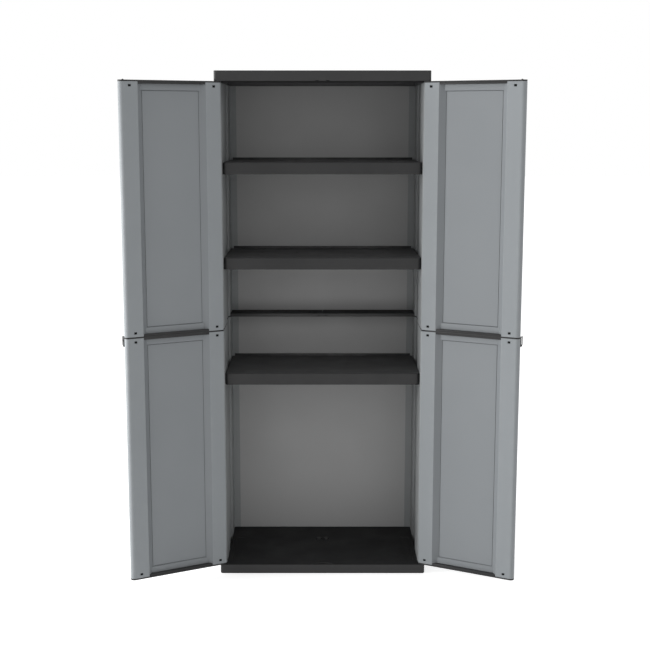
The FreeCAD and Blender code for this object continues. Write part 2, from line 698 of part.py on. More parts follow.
def door_panel():
    """A door panel, from its lower end up: X from the pivot, Y from the middle of its thickness."""
    body = document.addObject("PartDesign::Body", "DoorBody")
    outer_low = "hinge_stile + door_outer_shift"
    outer_high = "free_x - door_outer_shift"
    profile = Outline(body)
    profile.loop([
        ("0", "half_leaf"),
        ("hinge_stile", "half_leaf"),
        ("hinge_stile + door_recess", "web_inner"),
        ("free_x - door_recess", "web_inner"),
        ("free_x", "half_leaf"),
        ("round_x", "half_leaf"),
        ("round_x", "-half_leaf"),
        (outer_high, "-half_leaf"),
        (outer_high + " - door_outer_bevel", "web_outer"),
        (outer_low + " + door_outer_bevel", "web_outer"),
        (outer_low, "-half_leaf"),
        ("0", "-half_leaf"),
    ], rounds=(5, 11))
    slope_drop = "stile_hollow - web_inner - door_web / 2"
    slope_foot = "web_inner + door_web / 2"
    profile.loop([
        ("0", "stile_hollow"),
        ("hinge_stile - wall_run", "stile_hollow"),
        ("hinge_stile - wall_run + " + slope_drop, slope_foot),
        (outer_low + " - wall_run", "-stile_hollow"),
        ("0", "-stile_hollow"),
    ], rounds=(4,))
    profile.loop([
        ("round_x", "stile_hollow"),
        ("round_x", "-stile_hollow"),
        (outer_high + " + wall_run", "-stile_hollow"),
        ("free_x + wall_run - (" + slope_drop + ")", slope_foot),
        ("free_x + wall_run", "stile_hollow"),
    ], rounds=(0,))
    profile.pad(body, "door_panel")
    ledge_x = ("hinge_stile + door_recess - ledge_step", "free_x - door_recess + ledge_step")
    ledge_y = ("web_inner - door_web / 2", "ledge_face")
    low_ledge = box(ledge_x, ledge_y, ("0", "ledge_height"))
    high_ledge = box(ledge_x, ledge_y, ("door_panel - ledge_height", "door_panel"))
    windows = []
    for x in (HINGE_CLIP, FREE_CLIP):
        for z in ("clip_inset", "door_panel - clip_inset"):
            wall = ("stile_hollow - stile_wall / 2", "half_leaf + stile_wall")
            windows.append(box(around(x, "clip_width"), wall, around(z, "clip_height")))
    height = ("0", "door_panel")
    flat_wall = hinge_slice("hinge_flat - hinge_flat_wall", "hinge_flat", "half_leaf", height)
    beyond = hinge_slice("hinge_flat", "door_thickness", "door_thickness", height)
    return cut(fuse(body, low_ledge, high_ledge, flat_wall), *windows, beyond)


def door_strip(sides, start="0"):
    """A door strip about its middle height, with rails and tongues up (1), down (-1) or both."""
    body = document.addObject("PartDesign::Body", "DoorStripBody")
    round_ends = (1, 3) if start == "0" else (1,)
    plate = Outline(body)
    plate.loop(rectangle((start, "round_x"), ("-half_leaf", "half_leaf")), rounds=round_ends)
    plate.pad(body, "strip_thickness", both_ways=True)
    face = "strip_thickness / 2"
    slack = "fit_gap * sqrt(2)"
    parts = [body]
    beyond = [hinge_slice("hinge_flat", "door_thickness", "door_thickness", ("-" + face, face))]
    for sign in sides:
        rail = Outline(body, signed(sign, face, face)[0])
        rail.loop([
            ("hinge_stile + rail_setback + " + slack, "rail_face"),
            ("free_x - rail_setback - " + slack, "rail_face"),
            ("free_x - half_leaf + rail_back - " + slack, "rail_back"),
            ("hinge_stile + half_leaf - rail_back + " + slack, "rail_back"),
        ])
        rail.pad(body, "rail_lap", down=sign < 0)
        height = signed(sign, face, face + " + tongue_height")
        across = ("-tongue_face", "tongue_face")
        parts.append(box(("0", "hinge_stile - stile_wall"), across, height))
        parts.append(upright("0", "0", height, "tongue_face"))
        tongue_flat = "hinge_flat - hinge_flat_wall - fit_gap"
        beyond.append(hinge_slice(tongue_flat, "door_thickness", "door_thickness", height))
        parts.append(box(("free_x + stile_wall", "round_x"), across, height))
        parts.append(upright("round_x", "0", height, "tongue_face"))
        for x in (HINGE_CLIP, FREE_CLIP):
            window = around(face + " + clip_inset", "clip_height - 2 * clip_sink")
            parts.append(box(
                around(x, "clip_width - 2 * clip_sink"),
                ("tongue_face - clip_sink", "half_leaf - clip_sink"),
                signed(sign, *window),
            ))
    return cut(fuse(*parts), *beyond)


def bottom_strip():
    face = "-strip_thickness / 2"
    pivot = upright("0", "0", (face + " - door_gap_below - pivot_reach", face), "pivot_radius")
    return fuse(door_strip((1,)), pivot)


def top_strip():
    face = "strip_thickness / 2"
    pivot = upright("0", "0", (face, face + " + door_gap_above + pivot_reach"), "pivot_radius")
    nub = document.addObject("Part::Sphere", "Nub")
    place(nub, "catch_x", "0", face + " + catch_rise - catch_radius")
    bind(nub, Radius="catch_radius")
    return fuse(door_strip((-1,)), pivot, nub)


def lug_profile(body, thickness):
    """The outline shared by the padlock plate and the padlock loop."""
    behind = "-half_leaf / 3"
    beside_panel = "-half_leaf - 2 * fit_gap"
    profile = Outline(body, "leaf - lug_inset - " + thickness, "YZ_Plane")
    return profile.loop([
        ("lug_outer", "lug_top"),
        (behind, "lug_top"),
        (behind, "-strip_thickness / 2"),
        (beside_panel, "-strip_thickness / 2"),
        (beside_panel, "lug_bottom"),
        ("lug_outer + lug_chamfer", "lug_bottom"),
        ("lug_outer", "lug_bottom + lug_chamfer"),
    ])


def middle_strip(lug):
    """The strip between the two panels of a door; the hinge tab of the cabinet takes its end."""
    reach = "strip_thickness / 2 + tongue_height"
    bore = upright("0", "0", ("-(%s)" % reach, reach), PIVOT_BORE)
    return cut(fuse(door_strip((1, -1), "tab_radius + tab_gap"), lug), bore)


def padlock_plate():
    body = document.addObject("PartDesign::Body", "PlateBody")
    lug_profile(body, "lug_thickness").pad(body, "lug_thickness")
    hole = document.addObject("Part::Cylinder", "Hole")
    hole.Placement.Rotation = FreeCAD.Rotation(Vector(0, 1, 0), 90)
    place(hole, "leaf - lug_inset - 2 * lug_thickness", LUG_MIDDLE, "lug_top - lug_hole_drop")
    bind(hole, Radius="lug_hole_radius", Height="lug_thickness * 3")
    return cut(body, hole)


def padlock_loop():
    body = document.addObject("PartDesign::Body", "LoopBody")
    profile = lug_profile(body, "loop_thickness")
    run = "lug_chamfer + loop_bar * (sqrt(2) - 1)"
    profile.loop([
        ("lug_outer + loop_bar", "lug_top - loop_bar"),
        ("-half_leaf - 2 * fit_gap - loop_bar", "lug_top - loop_bar"),
        ("-half_leaf - 2 * fit_gap - loop_bar", "lug_bottom + loop_bar"),
        ("lug_outer + " + run, "lug_bottom + loop_bar"),
        ("lug_outer + loop_bar", "lug_bottom + " + run),
    ])
    profile.pad(body, "loop_thickness")
    return body


LUG_MIDDLE = "(lug_outer - half_leaf - 2 * fit_gap) / 2"


def hang(thing, z):
    """Hang a piece of the left door on its pivot, turned to where the open door rests."""
    place(thing, "-hinge_x", "hinge_y", z)
    return bind(thing, Placement__Rotation__Angle="-door_open_angle")


# Shelves

def shelf(top):
    """A tray turned upside down, with a notch over each of its four pegs."""
    body = document.addObject("PartDesign::Body", "ShelfBody")
    bottom = "%s - shelf_height" % top
    block = Outline(body, bottom)
    block.loop(rectangle(("-shelf_half", "shelf_half"), ("shelf_front", "shelf_back")))
    block = block.pad(body, "shelf_height")
    corners = rounded(body, block, "shelf_corner", is_outer_corner)
    rounded(body, corners, "shelf_edge", is_top)
    inside_half = "shelf_half - shelf_plate"
    inside = ("shelf_front + shelf_plate", "shelf_back - shelf_plate")
    hollow = Outline(body, bottom).loop(rectangle(("-(%s)" % inside_half, inside_half), inside))
    hollow.pocket(body, "shelf_height - shelf_plate", upwards=True)
    under = "%s - shelf_plate" % top
    ribs = grid_of_ribs(inside_half, inside, (bottom + " + rib_clearance", under))
    lip = box(
        ("-shelf_half + shelf_corner", "shelf_half - shelf_corner"),
        ("shelf_back - shelf_plate", "shelf_back"),
        (under, top + " + shelf_lip"),
    )
    cuts = []
    for y in PEG_PLACES:
        notch_z = (bottom + " - fit_gap", top + " - peg_drop + fit_gap")
        for x in (("-side_inner", "-side_inner + peg_reach + fit_gap"),
                  ("side_inner - peg_reach - fit_gap", "side_inner")):
            cuts.append(box(x, around(y, "peg_width + 4 * fit_gap"), notch_z))
    for x in ("-outer_dimple", "-inner_dimple", "inner_dimple", "outer_dimple"):
        depth = (top + " - dimple_depth", top + " + dimple_depth")
        cuts.append(upright(x, "shelf_front + dimple_place", depth, "dimple_radius"))
    return cut(fuse(body, lip, *ribs), *cuts)


def pegs(top):
    """The four pegs under one shelf."""
    rods = []
    height = (top + " - peg_drop - peg_height", top + " - peg_drop")
    tail = "side_inner + side_wall + peg_tail"
    tip = "side_inner - peg_reach"
    for y in PEG_PLACES:
        rods.append(box(("-(%s)" % tail, "-(%s)" % tip), around(y, "peg_width"), height))
        rods.append(box((tip, tail), around(y, "peg_width"), height))
    return group(*rods)


# The whole cabinet

keep("base_tray", base_tray())
keep("top_cap", top_cap())

left_lower = keep("left_lower_side_panel", side_panel(("side_low", "mid_low")))
left_upper = keep("left_upper_side_panel", side_panel(("mid_high", "side_high")))
left_strip = keep("left_side_strip", side_strip())
left_pin = keep("left_middle_hinge_pin", hinge_pin())
left_brace = keep("left_rear_brace", rear_brace())
mirrored("right_lower_side_panel", left_lower)
mirrored("right_upper_side_panel", left_upper)
mirrored("right_side_strip", left_strip)
mirrored("right_middle_hinge_pin", left_pin)
mirrored("right_rear_brace", left_brace)
keep("brace_joiner", brace_joiner())
keep("lower_back_sheet", back_sheet(("side_low", "brace_bottom - fit_gap")))
keep("upper_back_sheet", back_sheet(("brace_top + fit_gap", "side_high")))

door_pieces = [
    ("lower_door_panel", door_panel(), "door_bottom + strip_thickness"),
    ("upper_door_panel", door_panel(), "mid_high"),
    ("door_bottom_strip", bottom_strip(), "door_bottom + strip_thickness / 2"),
    ("door_top_strip", top_strip(), "door_top - strip_thickness / 2"),
]
for name, thing, z in door_pieces:
    hang(thing, z)
    keep("left_" + name, thing)
    mirrored("right_" + name, thing)
keep("left_door_middle_strip", hang(middle_strip(padlock_plate()), "mid_height"))
mirrored("right_door_middle_strip", hang(middle_strip(padlock_loop()), "mid_height"))

for level in ("upper", "middle", "lower"):
    keep(level + "_shelf", shelf(level + "_shelf_top"))
    keep(level + "_shelf_pegs", pegs(level + "_shelf_top"))

document.recompute()

for thing in document.Objects:
    if "Invalid" in thing.State or "Error" in thing.State:
        raise RuntimeError("%s (%s) failed: %s" % (thing.Name, thing.Label, thing.State))

os.makedirs("parts", exist_ok=True)
for name, thing in pieces.items():
    shape = thing.Shape
    if shape.isNull() or not shape.isValid() or not shape.Solids:
        raise RuntimeError("the shape of %s is not valid" % name)
    print("%-28s %d solids  %10.0f mm3" % (name, len(shape.Solids), shape.Volume))
    shape.exportStep("parts/%s.step" % name)
print(len(pieces), "pieces")
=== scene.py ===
# %% [markdown]
# # A garden storage cabinet, dressed around its CAD model
# The cabinet stands open. Its doors, sides and back are grey plastic panels, and its cap, base,
# shelves and strips are black mouldings. The CAD model already has each piece at its real size, so
# this file only gives the pieces their soft edges, their fine surfaces and their light. All lengths
# in the code are in metres.

# %% Load the frame
import json
import math

import bpy
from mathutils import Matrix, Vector


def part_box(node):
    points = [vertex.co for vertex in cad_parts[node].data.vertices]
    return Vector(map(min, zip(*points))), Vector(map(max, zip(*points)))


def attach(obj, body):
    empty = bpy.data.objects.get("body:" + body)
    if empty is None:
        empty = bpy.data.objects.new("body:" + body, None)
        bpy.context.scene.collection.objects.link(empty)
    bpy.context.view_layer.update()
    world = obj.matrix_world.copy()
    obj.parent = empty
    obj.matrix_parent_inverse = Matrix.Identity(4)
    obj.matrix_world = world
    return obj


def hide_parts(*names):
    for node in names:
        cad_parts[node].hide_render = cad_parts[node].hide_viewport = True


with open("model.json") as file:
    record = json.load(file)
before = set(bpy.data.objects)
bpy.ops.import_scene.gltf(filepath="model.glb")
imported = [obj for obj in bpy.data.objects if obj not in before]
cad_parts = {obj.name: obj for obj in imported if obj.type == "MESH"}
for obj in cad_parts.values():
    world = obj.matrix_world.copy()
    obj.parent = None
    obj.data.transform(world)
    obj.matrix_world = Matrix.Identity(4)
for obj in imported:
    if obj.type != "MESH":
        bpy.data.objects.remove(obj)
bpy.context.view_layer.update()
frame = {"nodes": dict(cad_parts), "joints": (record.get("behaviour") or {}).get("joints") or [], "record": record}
nodes = frame["nodes"]
print("nodes:", len(nodes))

# %% [markdown]
# ## The camera
# The photograph was taken from about four metres away, a little above chest height and looking down
# a little, with a short telephoto lens. A camera is described here by its place, its tilt and its
# lens, all worked out from the edges of the cabinet. Aiming it at a point would do too, but the tilt
# is known directly. The small shift slides the picture sideways, because the middle of the cabinet
# is at pixel 322.47 across and not at the middle of the frame.

# %% Camera
CAMERA_AWAY = 4.0209
CAMERA_HEIGHT = 1.4723
CAMERA_DOWN = math.radians(9.454)
LENS = 66.985
SENSOR = 36
FRAME_WIDTH = 650
CABINET_MIDDLE = 322.47


def add_camera():
    data = bpy.data.cameras.new("camera")
    data.lens = LENS
    data.sensor_width = SENSOR
    data.shift_x = (FRAME_WIDTH / 2 - CABINET_MIDDLE) / FRAME_WIDTH
    camera = bpy.data.objects.new("camera", data)
    camera.location = (0, -CAMERA_AWAY, CAMERA_HEIGHT)
    camera.rotation_euler = (math.radians(90) - CAMERA_DOWN, 0, 0)
    bpy.context.scene.collection.objects.link(camera)
    bpy.context.scene.camera = camera


add_camera()
print("camera:", CAMERA_AWAY, "m away")

# %% [markdown]
# ## Small helpers for shader nodes
# A material is a graph of nodes. Three short helpers make a new material, add a node with its
# settings, and set the plain numbers of its sockets, so that the recipes below stay readable.

# %% Helpers for shader nodes


def new_material(name):
    material = bpy.data.materials.new(name)
    material.use_nodes = True
    material.node_tree.nodes.clear()
    return material


def add_node(tree, kind, **settings):
    node = tree.nodes.new(kind)
    for key, value in settings.items():
        setattr(node, key, value)
    return node


def set_inputs(node, **values):
    for key, value in values.items():
        node.inputs[key.replace("_", " ")].default_value = value
    return node


# %% [markdown]
# ## A white floor
# The photograph has a white ground with no edge. A floor of white paper is lit like the rest, and a
# glow that only the camera, gloss and glass see lifts it to the white of the backdrop. The light on
# the cabinet stays as it is, and the soft shadow under the cabinet stays on the floor.

# %% Floor
FLOOR_SIZE = 60
FLOOR_GLOW = 0.55
PAPER_WHITE = (0.9, 0.9, 0.9, 1)


def seen_or_mirrored(tree):
    """One for rays of the camera, for rays that a gloss sends out and for rays through glass."""
    light_path = add_node(tree, "ShaderNodeLightPath")
    camera_or_gloss = add_node(tree, "ShaderNodeMath", operation="MAXIMUM")
    any_of_them = add_node(tree, "ShaderNodeMath", operation="MAXIMUM")
    link = tree.links.new
    link(light_path.outputs["Is Camera Ray"], camera_or_gloss.inputs[0])
    link(light_path.outputs["Is Glossy Ray"], camera_or_gloss.inputs[1])
    link(camera_or_gloss.outputs["Value"], any_of_them.inputs[0])
    link(light_path.outputs["Is Transmission Ray"], any_of_them.inputs[1])
    return any_of_them.outputs["Value"]


def paper_material():
    material = new_material("floor paper")
    tree = material.node_tree
    paper = set_inputs(add_node(tree, "ShaderNodeBsdfDiffuse"), Color=PAPER_WHITE)
    glow = set_inputs(add_node(tree, "ShaderNodeEmission"), Strength=FLOOR_GLOW)
    both = add_node(tree, "ShaderNodeAddShader")
    mix = add_node(tree, "ShaderNodeMixShader")
    output = add_node(tree, "ShaderNodeOutputMaterial")
    link = tree.links.new
    link(paper.outputs["BSDF"], both.inputs[0])
    link(glow.outputs["Emission"], both.inputs[1])
    link(seen_or_mirrored(tree), mix.inputs["Fac"])
    link(paper.outputs["BSDF"], mix.inputs[1])
    link(both.outputs["Shader"], mix.inputs[2])
    link(mix.outputs["Shader"], output.inputs["Surface"])
    return material


bpy.ops.mesh.primitive_plane_add(size=FLOOR_SIZE, location=(0, 0, 0))
floor = bpy.context.object
floor.name = "floor"
floor.data.materials.append(paper_material())

# %% [markdown]
# ## Studio light
# The photograph has no hard shadow. The back wall is lightest in the middle of each bay and fades
# towards the shelves, which is what soft light from all around does, so a white world is the main
# light. The right door is still lighter than the left one, but the inside is as light on the left
# as on the right. So one softbox stands far out to the left, where the open left door keeps its
# light off the inside and the right door catches it. Camera, gloss and glass see the world white.

# %% World
AMBIENT = 0.76


def build_world():
    world = bpy.data.worlds.new("studio")
    bpy.context.scene.world = world
    world.use_nodes = True
    tree = world.node_tree
    tree.nodes.clear()
    white = add_node(tree, "ShaderNodeBackground")
    set_inputs(white, Color=(1, 1, 1, 1), Strength=1.0)
    soft = add_node(tree, "ShaderNodeBackground")
    set_inputs(soft, Color=(1, 1, 1, 1), Strength=AMBIENT)
    mix = add_node(tree, "ShaderNodeMixShader")
    output = add_node(tree, "ShaderNodeOutputWorld")
    link = tree.links.new
    link(seen_or_mirrored(tree), mix.inputs["Fac"])
    link(soft.outputs["Background"], mix.inputs[1])
    link(white.outputs["Background"], mix.inputs[2])
    link(mix.outputs["Shader"], output.inputs["Surface"])


build_world()

# %% Softbox
CABINET_HEART = (0, 0, 0.8)


def add_softbox(name, place, size, watts):
    data = bpy.data.lights.new(name, "AREA")
    data.shape = "RECTANGLE"
    data.size, data.size_y = size
    data.energy = watts
    lamp = bpy.data.objects.new(name, data)
    lamp.location = place
    aim = Vector(CABINET_HEART) - Vector(place)
    lamp.rotation_euler = aim.to_track_quat("-Z", "Y").to_euler()
    bpy.context.scene.collection.objects.link(lamp)


add_softbox("side softbox", place=(-3.9, -0.8, 1.2), size=(1.8, 1.8), watts=160)

# %% [markdown]
# ## The grain of moulded plastic
# Steel moulds are etched with a fine grain, so that plastic panels don't shine and don't show
# scratches. The grain is far too fine to model, so a noise pattern moves the surface in the shader.
# Every material uses the same grain with its own size, so it is a node group with one input. The
# group also gives a second, slower pattern, because such a surface is never equally dull all over.

# %% Node group for the grain


def new_group(name, inputs, outputs):
    group = bpy.data.node_groups.new(name, "ShaderNodeTree")
    for title, kind in inputs:
        group.interface.new_socket(title, in_out="INPUT", socket_type=kind)
    for title, kind in outputs:
        group.interface.new_socket(title, in_out="OUTPUT", socket_type=kind)
    return group, group.nodes.new("NodeGroupInput"), group.nodes.new("NodeGroupOutput")


def build_grain():
    group, given, result = new_group(
        "moulded grain",
        [("Grains per metre", "NodeSocketFloat")],
        [("Height", "NodeSocketFloat"), ("Dullness", "NodeSocketFloat")],
    )
    link = group.links.new
    place = add_node(group, "ShaderNodeTexCoord")
    pits = set_inputs(add_node(group, "ShaderNodeTexNoise"), Detail=1.0)
    link(place.outputs["Object"], pits.inputs["Vector"])
    link(given.outputs["Grains per metre"], pits.inputs["Scale"])
    clouds = set_inputs(add_node(group, "ShaderNodeTexNoise"), Scale=9.0, Detail=2.0)
    link(place.outputs["Object"], clouds.inputs["Vector"])
    link(pits.outputs["Fac"], result.inputs["Height"])
    link(clouds.outputs["Fac"], result.inputs["Dullness"])
    return group


grain_group = build_grain()

# %% [markdown]
# ## Slow changes of tint
# A large panel cools unevenly in its mould and is a touch lighter in one place than in another. A
# second group makes a colour a few percent lighter or darker in wide, soft patches. It takes the
# colour, the strength of the change and the number of patches per metre.

# %% Node group for the tint
NOISE_MIDDLE = 0.5
UNCHANGED = 1.0


def build_tint():
    group, given, result = new_group(
        "slow tint",
        [("Color", "NodeSocketColor"), ("Change", "NodeSocketFloat"), ("Patches", "NodeSocketFloat")],
        [("Color", "NodeSocketColor")],
    )
    link = group.links.new
    place = add_node(group, "ShaderNodeTexCoord")
    clouds = set_inputs(add_node(group, "ShaderNodeTexNoise"), Detail=2.0)
    link(place.outputs["Object"], clouds.inputs["Vector"])
    link(given.outputs["Patches"], clouds.inputs["Scale"])
    centred = add_node(group, "ShaderNodeMath", operation="SUBTRACT")
    centred.inputs[1].default_value = NOISE_MIDDLE
    swing = add_node(group, "ShaderNodeMath", operation="MULTIPLY_ADD")
    swing.inputs[2].default_value = UNCHANGED
    link(clouds.outputs["Fac"], centred.inputs[0])
    link(centred.outputs["Value"], swing.inputs[0])
    link(given.outputs["Change"], swing.inputs[1])
    shade = add_node(group, "ShaderNodeHueSaturation")
    link(given.outputs["Color"], shade.inputs["Color"])
    link(swing.outputs["Value"], shade.inputs["Value"])
    link(shade.outputs["Color"], result.inputs["Color"])
    return group


tint_group = build_tint()

# %% [markdown]
# ## Rubbed edges
# Hands and tools rub the edges of a cabinet, and the plastic turns a little lighter there. The
# Geometry node's Pointiness is high where a surface bends outwards. This group turns it into a mask
# and breaks it up with noise, so that the rubbing comes and goes along an edge. A Mix node has a set
# of sockets for each kind of data under the same names, so its colour sockets go by number.

# %% Node group for rubbed edges
MIX_FACTOR = 0
MIX_FIRST_COLOUR = 6
MIX_SECOND_COLOUR = 7
MIX_COLOUR_RESULT = 2


def build_rub():
    group, given, result = new_group(
        "rubbed edges",
        [("Color", "NodeSocketColor"), ("Rubbed color", "NodeSocketColor"), ("Strength", "NodeSocketFloat")],
        [("Color", "NodeSocketColor")],
    )
    link = group.links.new
    geometry = add_node(group, "ShaderNodeNewGeometry")
    bend = set_inputs(add_node(group, "ShaderNodeMapRange"), From_Min=0.52, From_Max=0.62)
    link(geometry.outputs["Pointiness"], bend.inputs["Value"])
    place = add_node(group, "ShaderNodeTexCoord")
    breaks = set_inputs(add_node(group, "ShaderNodeTexNoise"), Scale=38.0, Detail=2.0)
    link(place.outputs["Object"], breaks.inputs["Vector"])
    gaps = set_inputs(add_node(group, "ShaderNodeMapRange"), From_Min=0.42, From_Max=0.62)
    link(breaks.outputs["Fac"], gaps.inputs["Value"])
    both = add_node(group, "ShaderNodeMath", operation="MULTIPLY")
    link(bend.outputs["Result"], both.inputs[0])
    link(gaps.outputs["Result"], both.inputs[1])
    mask = add_node(group, "ShaderNodeMath", operation="MULTIPLY")
    link(both.outputs["Value"], mask.inputs[0])
    link(given.outputs["Strength"], mask.inputs[1])
    mix = add_node(group, "ShaderNodeMix", data_type="RGBA")
    link(mask.outputs["Value"], mix.inputs[MIX_FACTOR])
    link(given.outputs["Color"], mix.inputs[MIX_FIRST_COLOUR])
    link(given.outputs["Rubbed color"], mix.inputs[MIX_SECOND_COLOUR])
    link(mix.outputs[MIX_COLOUR_RESULT], result.inputs["Color"])
    return group


rub_group = build_rub()

# %% [markdown]
# ## The plastics
# All the materials are one recipe with different numbers: a colour that drifts slowly, edges that
# are a little rubbed, and the etched grain in the roughness and in the bump. The doors and sides
# are a cool grey, the back sheets a lighter neutral grey, and the mouldings nearly black. Their
# gloss is left low, because etched plastic mirrors almost nothing. The sides, the base and the cap
# keep to a narrow range of dullness: light grazes these large faces, and would draw clouds on them.
# The rubbing is left out on the back sheets, on the sunk middles of the doors and on the flat tops,
# which lie away from the outer edges.

# %% Recipe for a moulded plastic


def moulded_plastic(name, colour, rubbed, grains, depth, sheen=0.35, dull=(0.42, 0.6), rub_strength=0.5):
    """Make a material. Grains are counted per metre, depth is in metres, dull is low and high roughness."""
    material = new_material(name)
    tree = material.node_tree
    link = tree.links.new
    tint = add_node(tree, "ShaderNodeGroup", node_tree=tint_group)
    set_inputs(tint, Color=(*colour, 1), Change=0.08, Patches=3.0)
    rub = add_node(tree, "ShaderNodeGroup", node_tree=rub_group)
    set_inputs(rub, Rubbed_color=(*rubbed, 1), Strength=rub_strength)
    link(tint.outputs["Color"], rub.inputs["Color"])
    grain = add_node(tree, "ShaderNodeGroup", node_tree=grain_group)
    set_inputs(grain, Grains_per_metre=grains)
    bump = set_inputs(add_node(tree, "ShaderNodeBump"), Strength=0.35, Distance=depth)
    link(grain.outputs["Height"], bump.inputs["Height"])
    dullness = add_node(tree, "ShaderNodeMapRange")
    set_inputs(dullness, From_Min=0.3, From_Max=0.7, To_Min=dull[0], To_Max=dull[1])
    link(grain.outputs["Dullness"], dullness.inputs["Value"])
    shader = add_node(tree, "ShaderNodeBsdfPrincipled")
    set_inputs(shader, Specular_IOR_Level=sheen)
    link(rub.outputs["Color"], shader.inputs["Base Color"])
    link(dullness.outputs["Result"], shader.inputs["Roughness"])
    link(bump.outputs["Normal"], shader.inputs["Normal"])
    output = add_node(tree, "ShaderNodeOutputMaterial")
    link(shader.outputs["BSDF"], output.inputs["Surface"])
    return material


# %% The materials
DOOR_GREY = (0.262, 0.280, 0.293)
# A shade darker than the stiles for the sunk middle of a door; on its slopes this also paints the shade that falls
# there.
WEB_GREY_AND_SHADE = (0.231, 0.246, 0.258)
SIDE_GREY = (0.306, 0.318, 0.322)
BACK_GREY = (0.43, 0.43, 0.43)
BLACK = (0.024, 0.024, 0.0245)
# Painted shade: a darker black for the base floor, the brace tops and the front of the cap rim, where shade falls.
PAINTED_SHADE_BLACK = (0.015, 0.015, 0.0155)
SHELF_BLACK = (0.019, 0.019, 0.0195)
# Painted sheen: a lighter black for the shelf tops, standing in for the light that grazes them.
SHELF_TOP_PAINTED_SHEEN = (0.066, 0.066, 0.067)
TRIM_BLACK = (0.027, 0.027, 0.0275)
# Painted light: a lighter black for the front of the rear brace.
BRACE_PAINTED_LIGHT = (0.048, 0.048, 0.049)
# Painted light: a lighter colour for the inside of the cap.
CAP_INSIDE = (0.09, 0.09, 0.092)
# Painted shade: a darker grey in the groove round the sunk middle of a door, where shade falls.
GROOVE_PAINTED_SHADE = (0.14, 0.149, 0.156)
# Painted shade: a near black for the snap noses, which sit in the shade of their windows.
NOSE_PAINTED_SHADE = (0.004, 0.004, 0.004)
RUBBED_GREY = (0.33, 0.345, 0.355)
RUBBED_BLACK = (0.05, 0.05, 0.05)

materials = {
    "door_panel": moulded_plastic("door plastic", DOOR_GREY, RUBBED_GREY, grains=900, depth=0.0002),
    "side_panel": moulded_plastic(
        "side plastic", SIDE_GREY, RUBBED_GREY, grains=900, depth=0.0002, dull=(0.49, 0.54)),
    "back_sheet": moulded_plastic(
        "back sheet plastic", BACK_GREY, RUBBED_GREY, grains=500, depth=0.0001, rub_strength=0.0),
    "black_moulding": moulded_plastic(
        "black moulding", BLACK, RUBBED_BLACK, grains=700, depth=0.0003, dull=(0.48, 0.55)),
    "shelf": moulded_plastic("shelf plastic", SHELF_BLACK, RUBBED_BLACK, grains=700, depth=0.0003),
    "black_trim": moulded_plastic(
        "black trim", TRIM_BLACK, RUBBED_BLACK, grains=1200, depth=0.0001, sheen=0.25),
}
# Painted shade on the snap noses.
nose_painted_shade = moulded_plastic(
    "snap nose painted shade", NOSE_PAINTED_SHADE, NOSE_PAINTED_SHADE, grains=1200, depth=0.0001, sheen=0.1, dull=(0.6, 0.8))
# The sunk middle of a door: a darker tone, and painted shade on its slopes.
web_tone_and_painted_shade = moulded_plastic(
    "door web tone and painted shade", WEB_GREY_AND_SHADE, RUBBED_GREY, grains=900, depth=0.0002, rub_strength=0.0)
# Painted shade for the faces of the groove round the sunk middle of a door.
groove_painted_shade = moulded_plastic(
    "door groove painted shade", GROOVE_PAINTED_SHADE, GROOVE_PAINTED_SHADE, grains=900, depth=0.0002, sheen=0.1)
# Painted light on the front of the rear brace.
brace_painted_light = moulded_plastic(
    "brace front painted light", BRACE_PAINTED_LIGHT, RUBBED_BLACK, grains=1200, depth=0.0001)
# Painted light on the inside of the cap.
cap_painted_light = moulded_plastic(
    "cap inside painted light", CAP_INSIDE, CAP_INSIDE, grains=700, depth=0.0003, sheen=0.2)
# Painted shade on the base floor, the brace tops and the cap rim; it is also coarser and duller.
painted_shade_plastic = moulded_plastic(
    "painted shade black", PAINTED_SHADE_BLACK, RUBBED_BLACK,
    grains=700, depth=0.0004, sheen=0.2, dull=(0.55, 0.75), rub_strength=0.0)
# Painted sheen on the shelf tops, which are also coarser.
top_painted_sheen = moulded_plastic(
    "shelf top painted sheen", SHELF_TOP_PAINTED_SHEEN, RUBBED_BLACK,
    grains=700, depth=0.0004, sheen=0.2, dull=(0.55, 0.75), rub_strength=0.0)
print("materials:", len(materials))

# %% The slot and the body of each node
slot_of_node = {part["node"]: part["material_slot"] for part in frame["record"]["subparts"]}
body_of_node = {}
for body, names in frame["record"]["behaviour"]["bodies"].items():
    for name in names:
        body_of_node[name] = body
print("bodies:", sorted(set(body_of_node.values())))

# %% [markdown]
# ## Soft edges
# No moulded edge is perfectly sharp: a radius of 0.4 to 1.2 millimetres, as the edge allows, lets
# the plastic fill the mould, and it catches the light as a fine bright line. The CAD model leaves
# most of these out. Each CAD node but the two back sheets is copied, the copy's triangles are joined
# into whole faces, its edges get a narrow bevel, and the copy stands for the node. The node itself
# is never changed. A joined face that runs all round a hole would be filled by mistake, so the
# pieces that have one are cut across the middle twice. Smooth shading would tilt the corners of a
# flat face towards the bevels beside it and draw wedges across it, so every broad face is shaded
# flat in the end.

# %% Edge radii
EDGE_RADII = {
    "base_tray": 0.0010,
    "top_cap": 0.0010,
    "side_panel": 0.0012,
    "side_strip": 0.0006,
    "hinge_pin": 0.0005,
    "rear_brace": 0.0008,
    "brace_joiner": 0.0004,
    "door_panel": 0.0012,
    "bottom_strip": 0.0006,
    "middle_strip": 0.0005,
    "top_strip": 0.0005,
    "shelf": 0.0010,
    "shelf_pegs": 0.0008,
}


def edge_radius(name):
    for ending, radius in EDGE_RADII.items():
        if name.endswith(ending):
            return radius
    return None


# %% Take one piece, and finish a piece: its material, its body, and its node hidden


def only(piece):
    bpy.ops.object.select_all(action="DESELECT")
    bpy.context.view_layer.objects.active = piece
    piece.select_set(True)


def finish_piece(piece, node_name):
    piece.data.materials.clear()
    piece.data.materials.append(materials[slot_of_node[node_name]])
    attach(piece, body_of_node[node_name])
    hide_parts(node_name)


# %% Shade broad faces flat
BROAD = 0.008


